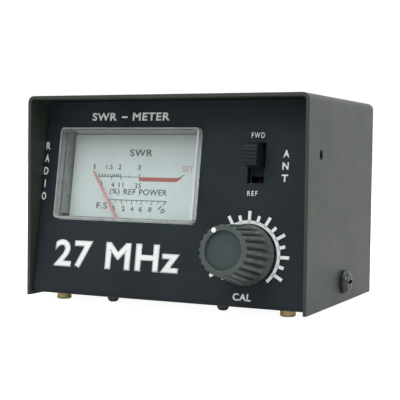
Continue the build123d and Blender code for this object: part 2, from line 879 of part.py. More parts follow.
wiper_front = 5.2
wiper_radius = 6.2
wiper_thickness = 0.8
shaft_front = knob_length - 3.2
flat_length = 8.0
with BuildPart() as pot_shaft:
    with BuildSketch(on_panel(knob_across, knob_up, -wiper_front)):
        Circle(shaft_radius)
    extrude(amount=wiper_front + shaft_front)
    with BuildSketch(on_panel(knob_across, knob_up, -pot_front - 0.9)):
        Circle(shaft_radius + 1.0)
    extrude(amount=0.7)
    with BuildSketch(on_panel(knob_across, knob_up, shaft_front)):
        with Locations((0, -2 * shaft_radius)):
            Rectangle(3 * shaft_radius, 3 * shaft_radius)
    extrude(amount=-flat_length, mode=Mode.SUBTRACT)
keep(pot_shaft, "pot_shaft")

with BuildPart() as pot_wiper:
    with BuildSketch(on_panel(knob_across, knob_up, -wiper_front)):
        Circle(wiper_radius)
    extrude(amount=-wiper_thickness)
    with BuildSketch(on_panel(knob_across, knob_up, -wiper_front - wiper_thickness)):
        with PolarLocations(5.2, 3, start_angle=80, angular_range=30):
            Circle(0.35)
    extrude(amount=-0.45)
keep(pot_wiper, "pot_wiper")

washer_thickness = 0.5
washer_radius = 5.9
nut_thickness = 2.0
with BuildPart() as pot_washer:
    with BuildSketch(on_panel(knob_across, knob_up, 0)):
        Circle(washer_radius)
        Circle(bushing_radius + 0.1, mode=Mode.SUBTRACT)
    extrude(amount=washer_thickness)
keep(pot_washer, "pot_washer")

pot_nut_shape = hex_piece(across_flats=10.0, height=nut_thickness, bore_radius=bushing_radius + 0.05)
with BuildPart() as pot_nut:
    with Locations(on_panel(knob_across, knob_up, washer_thickness)):
        add(pot_nut_shape)
keep(pot_nut, "pot_nut")

# ---------------------------------------------------------------- knob

cap_depth = 1.0
cap_thickness = 0.8
nut_room_radius = 6.4
groove_width = 0.3
groove_depth = 0.25
skirt_height = 3.2
flute_depth = 0.6
flute_radius = 0.75
body_height = knob_length - knob_base
taper = math.degrees(math.atan((knob_base_radius - knob_front_radius) / body_height))


def knob_radius(out):
    """Radius of the knob's tapered side at a distance out of the panel."""
    return knob_base_radius - (knob_base_radius - knob_front_radius) * (out - knob_base) / body_height


flute_low_radius = knob_radius(knob_base + skirt_height) + flute_radius
flute_high_radius = knob_radius(knob_length) - flute_depth + flute_radius

with BuildPart() as cal_knob:
    with BuildSketch(on_panel(knob_across, knob_up, knob_base)):
        Circle(knob_base_radius)
    extrude(amount=body_height, taper=taper)
    front = cal_knob.faces().sort_by(Axis(panel.origin, panel.z_dir))[-1]
    fillet(front.edges(), knob_rim_fillet)
    for flute in range(knob_flutes):
        flute_plane = on_panel(knob_across, knob_up, turn=flute * 360 / knob_flutes)
        start = flute_plane.from_local_coords((0, flute_low_radius, knob_base + skirt_height))
        end = flute_plane.from_local_coords((0, flute_high_radius, knob_length + 1.0))
        with BuildSketch(Plane(origin=start, z_dir=end - start)):
            Circle(flute_radius)
        extrude(amount=(end - start).length, mode=Mode.SUBTRACT)
    with BuildSketch(on_panel(knob_across, knob_up, knob_base + 1.0)):
        Circle(knob_base_radius + 1)
        Circle(knob_radius(knob_base + 1.0) - groove_depth, mode=Mode.SUBTRACT)
    extrude(amount=groove_width, mode=Mode.SUBTRACT)
    with BuildSketch(on_panel(knob_across, knob_up, knob_length)):
        Circle(knob_cap_radius)
    extrude(amount=-cap_depth - cap_thickness, mode=Mode.SUBTRACT)
    with BuildSketch(on_panel(knob_across, knob_up, knob_base)):
        Circle(nut_room_radius)
    extrude(amount=bushing_stand + 0.6 - knob_base, mode=Mode.SUBTRACT)
    with BuildSketch(on_panel(knob_across, knob_up, knob_base)):
        Circle(shaft_radius + 0.03)
        with Locations((0, -2 * shaft_radius - 0.03)):
            Rectangle(3 * shaft_radius, 3 * shaft_radius, mode=Mode.SUBTRACT)
    extrude(amount=shaft_front + 0.2 - knob_base, mode=Mode.SUBTRACT)
    with BuildSketch(on_panel(knob_across, knob_up, knob_base)):
        Circle(shaft_radius + 0.05)
    extrude(amount=shaft_front - flat_length + 0.2 - knob_base, mode=Mode.SUBTRACT)
keep(cal_knob, "cal_knob")

with BuildPart() as knob_cap:
    with BuildSketch(on_panel(knob_across, knob_up, knob_length - cap_depth - cap_thickness)):
        Circle(knob_cap_radius)
    extrude(amount=cap_thickness)
keep(knob_cap, "knob_cap")

# ---------------------------------------------------------------- control board

control_mid = (control_low + control_high) / 2
with BuildPart() as control_board:
    with BuildSketch(on_panel(switch_across, control_mid, -control_depth - board_thickness)):
        RectangleRounded(control_width, control_high - control_low, 0.8)
    extrude(amount=board_thickness)
    with BuildSketch(on_panel(0, 0, -control_depth - board_thickness)):
        with Locations((switch_across, slot_up)):
            with Locations(*terminal_rows):
                Circle(0.6)
        with Locations((knob_across, knob_up + lug_up)):
            with GridLocations(lug_spacing, 1, 3, 1):
                Circle(0.7)
    extrude(amount=board_thickness, mode=Mode.SUBTRACT)
keep(control_board, "control_board")

# ---------------------------------------------------------------- sockets

rim_y = rear_face + flange_plate + barrel_length
insulator_face = rim_y - insulator_recess
contact_tip = rim_y - contact_tip_recess
contact_tail_end = rear_inner + 1.0 - contact_tail_length


def socket_shell(across):
    """Square-flanged coaxial socket shell with a plain barrel at the thread's outside size."""
    with BuildPart() as body:
        with BuildSketch(at_rear(across, socket_height, rear_face)):
            RectangleRounded(flange_size, flange_size, 1.0)
            with GridLocations(flange_hole_spacing, flange_hole_spacing, 2, 2):
                Circle(flange_hole_radius, mode=Mode.SUBTRACT)
        extrude(amount=flange_plate)
        with BuildSketch(at_rear(across, socket_height, rear_face + flange_plate)):
            Circle(barrel_radius)
        extrude(amount=barrel_length)
        with BuildSketch(at_rear(across, socket_height, rear_face)):
            Circle(barrel_bore_radius)
        extrude(amount=flange_plate + barrel_length, mode=Mode.SUBTRACT)
        with BuildSketch(at_rear(across, socket_height, rim_y)):
            with PolarLocations((barrel_radius + barrel_bore_radius) / 2, rim_notches):
                Rectangle(3.0, rim_notch_width)
        extrude(amount=-rim_notch_depth, mode=Mode.SUBTRACT)
    return body.part


def socket_insulator(across):
    """Moulded insulator that fills the shell and carries the centre contact."""
    with BuildPart() as body:
        with BuildSketch(at_rear(across, socket_height, rear_face - sheet - insulator_tail)):
            Circle(barrel_bore_radius)
            Circle(contact_radius, mode=Mode.SUBTRACT)
        extrude(amount=insulator_face - rear_face + sheet + insulator_tail)
    return body.part


def socket_contact(across):
    """Centre contact: slotted tube for the plug's pin in front, solder spigot behind."""
    insulator_back = rear_face - sheet - insulator_tail
    with BuildPart() as body:
        with BuildSketch(at_rear(across, socket_height, insulator_back)):
            Circle(contact_radius)
        extrude(amount=contact_tip - insulator_back)
        with BuildSketch(at_rear(across, socket_height, contact_tail_end)):
            Circle(contact_tail_radius)
        extrude(amount=insulator_back - contact_tail_end)
        with BuildSketch(at_rear(across, socket_height, contact_tip)):
            Circle(contact_bore_radius)
        extrude(amount=-contact_bore_length, mode=Mode.SUBTRACT)
        with BuildSketch(at_rear(across, socket_height, contact_tip)):
            Rectangle(2 * contact_radius + 1, contact_slot_width)
            Rectangle(contact_slot_width, 2 * contact_radius + 1)
        extrude(amount=-contact_slot_length, mode=Mode.SUBTRACT)
    return body.part


socket_builders = {"socket": socket_shell, "insulator": socket_insulator, "contact": socket_contact}
socket_pieces = [
    (f"{use}_{kind}", build_piece(across))
    for use, across in (("radio", -socket_across), ("antenna", socket_across))
    for kind, build_piece in socket_builders.items()
]
for name, shape in socket_pieces:
    with BuildPart() as socket_piece:
        add(shape)
    keep(socket_piece, name)

flange_holes = [
    (centre_x + dx, centre_z + dz)
    for centre_x, centre_z in socket_places
    for dx in (-flange_hole_spacing / 2, flange_hole_spacing / 2)
    for dz in (-flange_hole_spacing / 2, flange_hole_spacing / 2)
]
inner_holes = [hole for hole in flange_holes if abs(hole[0]) < socket_across]
outer_holes = [hole for hole in flange_holes if abs(hole[0]) > socket_across]

socket_screw = cross_recess_screw(2.7, 1.9, small_screw_radius, 6.5)
with BuildPart() as socket_screws:
    for x, z in flange_holes:
        with Locations(at_rear(x, z, rear_face + flange_plate)):
            add(socket_screw)
keep(socket_screws, "socket_screws")

socket_nut = hex_piece(small_nut_flats, small_nut_height, bore_radius=small_screw_radius + 0.05)
with BuildPart() as socket_nuts:
    for x, z in outer_holes:
        with Locations(at_rear(x, z, rear_inner - small_nut_height)):
            add(socket_nut)
keep(socket_nuts, "socket_nuts")

standoff = hex_piece(small_nut_flats, coupler_gap, bore_radius=small_screw_radius + 0.05)
with BuildPart() as coupler_standoffs:
    for x, z in inner_holes:
        with Locations(at_rear(x, z, coupler_back)):
            add(standoff)
keep(coupler_standoffs, "coupler_standoffs")

board_screw = cross_recess_screw(2.6, 1.8, small_screw_radius, 3.4)
with BuildPart() as board_screws:
    for x, z in inner_holes:
        with Locations(on_coupler(x, z)):
            add(board_screw)
keep(board_screws, "board_screws")

# ---------------------------------------------------------------- coupler board

with BuildPart() as coupler_board:
    with BuildSketch(at_rear(0, socket_height, coupler_front)):
        RectangleRounded(coupler_width, coupler_height, 1.0)
        with Locations((-socket_across, 0), (socket_across, 0)):
            Circle(contact_tail_radius + 0.05, mode=Mode.SUBTRACT)
        with Locations(*[(x, z - socket_height) for x, z in inner_holes]):
            Circle(small_hole_radius, mode=Mode.SUBTRACT)
    extrude(amount=board_thickness)
keep(coupler_board, "coupler_board")

with BuildPart() as through_line:
    with BuildSketch(at_rear(0, socket_height, coupler_back)):
        SlotCenterToCenter(2 * socket_across, line_width + 2.0)
        Rectangle(2 * socket_across - 10, line_width + 4.0, mode=Mode.SUBTRACT)
        Rectangle(2 * socket_across - 8, line_width)
        with Locations((-socket_across, 0), (socket_across, 0)):
            Circle(contact_tail_radius + 0.05, mode=Mode.SUBTRACT)
    extrude(amount=copper)
keep(through_line, "through_line")

with BuildPart() as sense_lines:
    with BuildSketch(at_rear(0, socket_height, coupler_back)):
        with GridLocations(1, 2 * sense_offset, 1, 2):
            Rectangle(sense_length, sense_width)
    extrude(amount=copper)
keep(sense_lines, "sense_lines")

diode = axial_part(body_radius=0.95, body_length=3.8, span=7.0, stand=1.8)
resistor = axial_part(body_radius=1.15, body_length=5.6, span=8.6, stand=1.9)
capacitor = disc_capacitor()

with BuildPart() as detector_diodes:
    for side in (-1, 1):
        with Locations(on_coupler(-part_column, socket_height + side * part_offset, x_dir=(0, 0, 1))):
            add(diode)
keep(detector_diodes, "detector_diodes")

with BuildPart() as line_resistors:
    for side in (-1, 1):
        with Locations(on_coupler(part_column, socket_height + side * part_offset, x_dir=(0, 0, 1))):
            add(resistor)
keep(line_resistors, "line_resistors")

with BuildPart() as bypass_capacitors:
    for side in (-1, 1):
        with Locations(on_coupler(0, socket_height + side * part_offset)):
            add(capacitor)
keep(bypass_capacitors, "bypass_capacitors")

# ---------------------------------------------------------------- wiring

control_back = -control_depth - board_thickness
wire_bend = 3.0


def coupler_route(start_across, start_up, via, end_across, end_height):
    """Points of a wire from the control board's back to the coupler board's front."""
    return [
        panel_point(start_across, start_up, control_back),
        panel_point(start_across, start_up, control_back - 8),
        Vector(*via),
        Vector(end_across, coupler_front - 9, end_height),
        Vector(end_across, coupler_front, end_height),
    ]


def meter_route(across, start_across, start_up):
    """Points of a wire from the control board's back to a terminal on the meter's back."""
    loop = -terminal_end - 7
    return [
        panel_point(start_across, start_up, control_back),
        panel_point(start_across, start_up, loop + 3),
        panel_point((start_across + across) / 2, (start_up + terminal_up) / 2 + 2, loop - 2),
        panel_point(across, terminal_up, loop),
        panel_point(across, terminal_up, -terminal_end),
    ]


wires = [
    ("forward_wire", coupler_route(30.0, 49.5, (20.0, 5.0, 51.0), -3.8, socket_height + 14.5)),
    ("reflected_wire", coupler_route(33.0, 31.0, (20.0, 4.0, 15.0), -3.8, socket_height - 14.5)),
    ("ground_wire", coupler_route(24.0, 31.0, (17.0, 2.0, 24.0), 3.8, socket_height - 14.5)),
]
for name, points in wires:
    wire_shape = hookup_wire(points, wire_bend)
    with BuildPart() as wire_piece:
        add(wire_shape)
    keep(wire_piece, name)

meter_wire_shapes = [
    hookup_wire(meter_route(terminal_places[0][0], 18.0, 47.0), wire_bend),
    hookup_wire(meter_route(terminal_places[1][0], 18.0, 30.0), wire_bend),
]
with BuildPart() as meter_wires:
    for shape in meter_wire_shapes:
        add(shape)
keep(meter_wires, "meter_wires")
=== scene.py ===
import json
import math

import bmesh
import bpy
from mathutils import Matrix, Vector


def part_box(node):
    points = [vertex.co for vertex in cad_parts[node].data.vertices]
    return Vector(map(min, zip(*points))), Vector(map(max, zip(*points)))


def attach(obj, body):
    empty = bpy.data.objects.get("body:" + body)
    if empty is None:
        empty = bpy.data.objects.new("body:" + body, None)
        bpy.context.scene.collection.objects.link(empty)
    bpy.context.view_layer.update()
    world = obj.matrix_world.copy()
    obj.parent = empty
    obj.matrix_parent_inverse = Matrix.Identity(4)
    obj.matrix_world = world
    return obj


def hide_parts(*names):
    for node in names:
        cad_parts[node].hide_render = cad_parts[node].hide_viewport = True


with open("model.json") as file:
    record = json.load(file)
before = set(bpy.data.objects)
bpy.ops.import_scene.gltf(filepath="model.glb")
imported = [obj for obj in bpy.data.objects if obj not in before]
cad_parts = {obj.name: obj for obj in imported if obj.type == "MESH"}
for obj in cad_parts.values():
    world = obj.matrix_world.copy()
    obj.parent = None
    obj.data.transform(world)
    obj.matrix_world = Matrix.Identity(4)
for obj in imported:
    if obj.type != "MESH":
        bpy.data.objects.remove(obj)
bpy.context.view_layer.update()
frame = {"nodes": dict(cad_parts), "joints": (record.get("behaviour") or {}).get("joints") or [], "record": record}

# The looks of an SWR meter: its finishes, the printing on its panel and dial, the dot on its
# knob and the threaded shells of its two sockets. Lengths are millimetres until they are placed.
MM = 0.001
white = (1.0, 1.0, 1.0, 1.0)

# ---------------------------------------------------------------- places, from the frame

joints = {joint["name"]: joint for joint in frame["joints"]}
mounts = {mount["name"]: mount for mount in frame["record"]["mounts"]}
across = Vector((1, 0, 0))
outward = Vector(joints["calibration_turn"]["axis"]).normalized()
upward = outward.cross(across)
panel_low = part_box("chassis")[0].z
knob_hinge = Vector(joints["calibration_turn"]["pos_m"])
needle_hinge = Vector(joints["needle_swing"]["pos_m"])
panel_origin = knob_hinge - upward * ((knob_hinge.z - panel_low) / upward.z)
panel_origin.x = 0

to_panel = Matrix((across, upward, outward)).transposed().to_4x4()
to_panel.translation = panel_origin
from_panel = to_panel.inverted()


def panel_place(point):
    """A point's millimetres across the panel, up it and out of it."""
    return (from_panel @ point) / MM


def outermost(node):
    """How far a node reaches out of the panel, in millimetres."""
    return max(panel_place(vertex.co).z for vertex in frame["nodes"][node].data.vertices)


knob_across, knob_up, _ = panel_place(knob_hinge)
pivot_across, pivot_up, _ = panel_place(needle_hinge)
knob_face = outermost("cal_knob")
knob_flutes = 22
skirt_end = 3.5  # heights above the panel: the knob's flutes fade in, and fade out at its rim
flutes_full = 5.5
flutes_fade = knob_face - 1.2
flutes_end = knob_face - 0.3
dial_face = outermost("dial_plate")
dial_corners = [panel_place(vertex.co) for vertex in frame["nodes"]["dial_plate"].data.vertices]
dial_low = Vector((min(point.x for point in dial_corners), min(point.y for point in dial_corners)))
dial_high = Vector((max(point.x for point in dial_corners), max(point.y for point in dial_corners)))

# ---------------------------------------------------------------- building meshes

merge_distance = 1e-5
sharp_angle = math.radians(35)


def prism(mesh, outline, height):
    """A closed flat piece: an outline of (across, up) points, anticlockwise, raised to a height."""
    low = [mesh.verts.new((x, y, 0)) for x, y in outline]
    high = [mesh.verts.new((x, y, height)) for x, y in outline]
    mesh.faces.new(high)
    mesh.faces.new(low[::-1])
    for i in range(len(outline)):
        j = (i + 1) % len(outline)
        mesh.faces.new((low[i], low[j], high[j], high[i]))


def bar(mesh, start, end, width, height):
    """A straight printed line between two points."""
    along = (Vector(end) - Vector(start)).normalized()
    side = Vector((-along.y, along.x)) * width / 2
    start, end = Vector(start), Vector(end)
    prism(mesh, [start - side, end - side, end + side, start + side], height)


def tilted(angle, radius, centre):
    """The point at a radius from a centre, at an angle clockwise from straight up, in degrees."""
    turn = math.radians(angle)
    return Vector((centre[0] + radius * math.sin(turn), centre[1] + radius * math.cos(turn)))


def ring_sector(mesh, centre, inner, outer, start, end, height, steps):
    """Part of a flat ring between two angles clockwise from straight up."""
    rows = []
    for i in range(steps + 1):
        angle = start + (end - start) * i / steps
        near, far = tilted(angle, inner, centre), tilted(angle, outer, centre)
        rows.append([
            mesh.verts.new((*near, 0)), mesh.verts.new((*far, 0)),
            mesh.verts.new((*far, height)), mesh.verts.new((*near, height)),
        ])
    for row, following in zip(rows, rows[1:]):
        for i in range(4):
            j = (i + 1) % 4
            mesh.faces.new((row[i], row[j], following[j], following[i]))
    mesh.faces.new(rows[0][::-1])
    mesh.faces.new(rows[-1])


def word(mesh, text, low, high, height, weight=0.0, turn=0.0, spacing=1.1):
    """Lettering that fills the rectangle from low to high, turned clockwise about its middle."""
    half_depth = 0.5
    curve = bpy.data.curves.new("word", "FONT")
    curve.body = text
    curve.bevel_depth = weight
    curve.bevel_resolution = 0
    curve.space_character = spacing
    curve.extrude = half_depth - weight
    holder = bpy.data.objects.new("word", curve)
    letters = bpy.data.meshes.new_from_object(holder)
    first = min(v.co.x for v in letters.vertices), min(v.co.y for v in letters.vertices)
    last = max(v.co.x for v in letters.vertices), max(v.co.y for v in letters.vertices)
    size = Vector((high[0] - low[0], high[1] - low[1], 0))
    middle = Vector((low[0] + high[0], low[1] + high[1], 0)) / 2
    stretch = Matrix.Diagonal((size.x / (last[0] - first[0]), size.y / (last[1] - first[1]), height, 1))
    centred = Matrix.Translation((-(first[0] + last[0]) / 2, -(first[1] + last[1]) / 2, half_depth))
    letters.transform(
        Matrix.Translation(middle) @ Matrix.Rotation(-math.radians(turn), 4, "Z") @ stretch @ centred
    )
    mesh.from_mesh(letters)
    bpy.data.objects.remove(holder)
    bpy.data.curves.remove(curve)
    bpy.data.meshes.remove(letters)


def make_piece(name, mesh, place, material, body, smooth=False):
    """Turn a bmesh in millimetres into a piece at a place, riding on a body."""
    bmesh.ops.remove_doubles(mesh, verts=mesh.verts, dist=merge_distance)
    bmesh.ops.recalc_face_normals(mesh, faces=mesh.faces)
    mesh.transform(place @ Matrix.Scale(MM, 4))
    data = bpy.data.meshes.new(name)
    mesh.to_mesh(data)
    mesh.free()
    data.materials.append(material)
    piece = bpy.data.objects.new(name, data)
    bpy.context.scene.collection.objects.link(piece)
    if smooth:
        data.shade_smooth()
        data.set_sharp_from_angle(angle=sharp_angle)
    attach(piece, body)
    return piece


# ---------------------------------------------------------------- finishes

noise_span = (0.3, 0.7)  # the values that most of a noise lies between
speck_start = 0.62  # the fine noise at which pale specks begin
speck_full = 0.75
speck_lightness = 1.6
edge_patch_size = 0.9
sheen_spread = 0.18  # how far the roughness strays from its middle, as a share of it
relief_share = 0.3  # the depth of the grain, as a share of its size
acrylic_index = 1.49
polished = 0.03
flow_size = 6.0  # the size of the slow waves in a clear moulding
wall_haze_size = 5.0
wall_clearness = (0.62, 0.78)
haze_start = 0.1  # how far outside the dial's outline the haze begins
haze_full = 0.5
ring_pitch = 1.2
ridge_patch_size = 0.9


def add_node(material, kind, inputs=(), **settings):
    """A shader node with its settings, and its inputs given as values or as other nodes' outputs."""
    node = material.node_tree.nodes.new("ShaderNode" + kind)
    for key, value in settings.items():
        setattr(node, key, value)
    for key, value in dict(inputs).items():
        if isinstance(value, bpy.types.NodeSocket):
            material.node_tree.links.new(value, node.inputs[key])
        else:
            node.inputs[key].default_value = value
    return node


def shade(colour, factor):
    """A colour made lighter or darker."""
    return tuple(min(1.0, part * factor) for part in colour[:3]) + (1.0,)


def noise(material, position, size, detail=3.0):
    """Noise with features of a size in millimetres."""
    inputs = {"Vector": position, "Scale": 1 / (size * MM), "Detail": detail, "Roughness": 0.6}
    return add_node(material, "TexNoise", inputs).outputs["Fac"]


def remap(material, value, low, high, to_low, to_high):
    """A value between two limits mapped to between two others."""
    inputs = {"Value": value, "From Min": low, "From Max": high, "To Min": to_low, "To Max": to_high}
    return add_node(material, "MapRange", inputs).outputs["Result"]


def calculate(material, operation, *values):
    """The result of a math node."""
    return add_node(material, "Math", dict(enumerate(values)), operation=operation).outputs["Value"]


def blend_colours(material, factor, first, second):
    """A mix of two colours."""
    mix = add_node(material, "Mix", data_type="RGBA")
    sockets = {socket.identifier: socket for socket in mix.inputs}
    for key, value in (("Factor_Float", factor), ("A_Color", first), ("B_Color", second)):
        if isinstance(value, bpy.types.NodeSocket):
            material.node_tree.links.new(value, sockets[key])
        else:
            sockets[key].default_value = value
    return next(socket for socket in mix.outputs if socket.identifier == "Result_Color")


def edge_mask(material, radius):
    """The rounded normal of a surface's edges, and a mask of 1 at its edges, where a paler edge colour is painted.
    """
    rounded = add_node(material, "Bevel", {"Radius": radius * MM}, samples=4).outputs["Normal"]
    flat = add_node(material, "NewGeometry").outputs["Normal"]
    dot = add_node(material, "VectorMath", {0: rounded, 1: flat}, operation="DOT_PRODUCT")
    worn_below, flat_above = 0.72, 0.97
    return rounded, remap(material, dot.outputs["Value"], worn_below, flat_above, 1.0, 0.0)


def finish_surface(
    name, colour, roughness, metallic=0.0, grain=0.35, relief=0.1, clouds=0.1, cloud_size=9.0,
    edge=0.18, worn=None, wear=0.0, stretch=(1, 1, 1), gloss=0.5,
):
    """A finish with a fine grain, cloudy colour, uneven sheen, soft edges and paler edges: wear on most finishes,
    a painted sheen line on the cover, partly a painted highlight on the knob.
    """
    material = bpy.data.materials.new(name)
    material.use_nodes = True
    shader = material.node_tree.nodes["Principled BSDF"]
    shader.inputs["Metallic"].default_value = metallic
    shader.inputs["Specular IOR Level"].default_value = gloss
    position = add_node(material, "TexCoord").outputs["Object"]
    grain_at = add_node(material, "Mapping", {"Vector": position, "Scale": stretch}).outputs["Vector"]
    fine = noise(material, grain_at, grain)
    cloud = noise(material, position, cloud_size, detail=4.0)
    cloudiness = remap(material, cloud, *noise_span, 0.0, 1.0)
    tone = blend_colours(material, cloudiness, shade(colour, 1 - clouds), shade(colour, 1 + clouds))
    specks = remap(material, fine, speck_start, speck_full, 0.0, clouds)
    tone = blend_colours(material, specks, tone, shade(colour, speck_lightness))
    rounded, mask = edge_mask(material, edge)
    # Edges painted paler in patches: wear on most finishes; on the cover a painted sheen line, on the knob partly
    # a painted highlight.
    if worn is not None:
        edge_patches = remap(material, noise(material, position, edge_patch_size, detail=5.0), 0.35, 0.65, 0.0, wear)
        tone = blend_colours(material, calculate(material, "MULTIPLY", mask, edge_patches), tone, (*worn, 1.0))
    smooth, rough = roughness * (1 - sheen_spread), min(1.0, roughness * (1 + sheen_spread))
    sheen = remap(material, calculate(material, "ADD", fine, cloud), 0.6, 1.4, smooth, rough)
    depth = grain * MM * relief_share
    bump = add_node(
        material, "Bump", {"Strength": relief, "Distance": depth, "Height": fine, "Normal": rounded}
    )
    links = material.node_tree.links
    links.new(tone, shader.inputs["Base Color"])
    links.new(sheen, shader.inputs["Roughness"])
    links.new(bump.outputs["Normal"], shader.inputs["Normal"])
    return material


def panel_vector(material, origin):
    """Metres across the panel, up it and out of it, from an origin, as one vector."""
    position = add_node(material, "TexCoord").outputs["Object"]
    inputs = {"Vector": position, "Location": origin, "Rotation": to_panel.to_euler()}
    return add_node(material, "Mapping", inputs, vector_type="TEXTURE").outputs["Vector"]


def panel_position(material, origin):
    """Metres across the panel, up it and out of it, from an origin, as the outputs X, Y and Z."""
    return add_node(material, "SeparateXYZ", {"Vector": panel_vector(material, origin)}).outputs


def clear_plastic(name, tint):
    """Clear moulding that bends what is seen through it and lets lamps through."""
    material = bpy.data.materials.new(name)
    material.use_nodes = True
    shader = material.node_tree.nodes["Principled BSDF"]
    shader.inputs["Base Color"].default_value = tint
    shader.inputs["Transmission Weight"].default_value = 1.0
    shader.inputs["Roughness"].default_value = polished
    shader.inputs["IOR"].default_value = acrylic_index
    position = add_node(material, "TexCoord").outputs["Object"]
    flow = noise(material, position, flow_size)
    bump = add_node(material, "Bump", {"Strength": 0.04, "Distance": 0.1 * MM, "Height": flow})
    lamp = add_node(material, "LightPath").outputs["Is Shadow Ray"]
    open_way = add_node(material, "BsdfTransparent", {"Color": shade(tint, 0.97)})
    mix = add_node(material, "MixShader", {0: lamp, 1: shader.outputs["BSDF"], 2: open_way.outputs["BSDF"]})
    links = material.node_tree.links
    links.new(bump.outputs["Normal"], shader.inputs["Normal"])
    links.new(mix.outputs["Shader"], material.node_tree.nodes["Material Output"].inputs["Surface"])
    return material


def window_plastic(name, tint):
    """Clear plastic whose walls, outside the dial's outline, are a little milky."""
    material = clear_plastic(name, tint)
    shader = material.node_tree.nodes["Principled BSDF"]
    middle = (dial_low + dial_high) / 2
    half = (dial_high - dial_low) / 2
    place = panel_position(material, to_panel @ Vector((middle.x * MM, middle.y * MM, 0)))
    beside = calculate(material, "SUBTRACT", calculate(material, "ABSOLUTE", place["X"]), half.x * MM)
    above = calculate(material, "SUBTRACT", calculate(material, "ABSOLUTE", place["Y"]), half.y * MM)
    beyond = calculate(material, "MAXIMUM", beside, above)
    position = add_node(material, "TexCoord").outputs["Object"]
    hazy = remap(material, noise(material, position, wall_haze_size), *noise_span, *wall_clearness)
    clearness = remap(material, beyond, haze_start * MM, haze_full * MM, 1.0, hazy)
    material.node_tree.links.new(clearness, shader.inputs["Transmission Weight"])
    return material


def ringed(name, colour, roughness, centre):
    """A satin disc with fine turned rings about the knob's axis."""
    material = finish_surface(name, colour, roughness, grain=0.25, relief=0.08, clouds=0.08, gloss=0.35)
    shader = material.node_tree.nodes["Principled BSDF"]
    level = panel_vector(material, centre)
    rings = add_node(
        material, "TexWave", {"Vector": level, "Scale": 1 / (ring_pitch * MM), "Distortion": 0.6},
        wave_type="RINGS", rings_direction="Z",
    ).outputs["Fac"]
    worked = shader.inputs["Normal"].links[0].from_socket
    bump = add_node(
        material, "Bump", {"Strength": 0.12, "Distance": 0.02 * MM, "Height": rings, "Normal": worked}
    )
    material.node_tree.links.new(bump.outputs["Normal"], shader.inputs["Normal"])
    return material


def fluted(name, colour, groove_shade, ridge_wear_and_highlight, **looks):
    """Moulded plastic with painted shade in the knob's flutes, and ridges painted paler, partly as finger wear and
    partly as a painted highlight.
    """
    material = finish_surface(name, colour, **looks)
    shader = material.node_tree.nodes["Principled BSDF"]
    tone = shader.inputs["Base Color"].links[0].from_socket
    place = panel_position(material, knob_hinge)
    turn = calculate(material, "ARCTAN2", place["X"], place["Y"])
    wave = calculate(material, "COSINE", calculate(material, "MULTIPLY", turn, knob_flutes))
    behind_rim = remap(material, place["Z"], flutes_fade * MM, flutes_end * MM, 1.0, 0.0)
    above_skirt = remap(material, place["Z"], skirt_end * MM, flutes_full * MM, 0.0, 1.0)
    on_flutes = calculate(material, "MULTIPLY", behind_rim, above_skirt)
    # Painted shade in the bottoms of the flutes' grooves.
    groove = calculate(material, "MULTIPLY", remap(material, wave, -0.2, 0.9, 0.0, 0.9), on_flutes)
    position = add_node(material, "TexCoord").outputs["Object"]
    # Ridges painted paler in patches: partly finger wear, partly a painted highlight.
    ridge_pale_patches = remap(material, noise(material, position, ridge_patch_size, detail=5.0), 0.42, 0.62, 0.0, 0.85)
    ridge = calculate(material, "MULTIPLY", remap(material, wave, -0.2, -0.9, 0.0, 1.0), on_flutes)
    tone = blend_colours(material, calculate(material, "MULTIPLY", ridge, ridge_pale_patches), tone, (*ridge_wear_and_highlight, 1.0))
    tone = blend_colours(material, groove, tone, (*groove_shade, 1.0))
    material.node_tree.links.new(tone, shader.inputs["Base Color"])
    return material


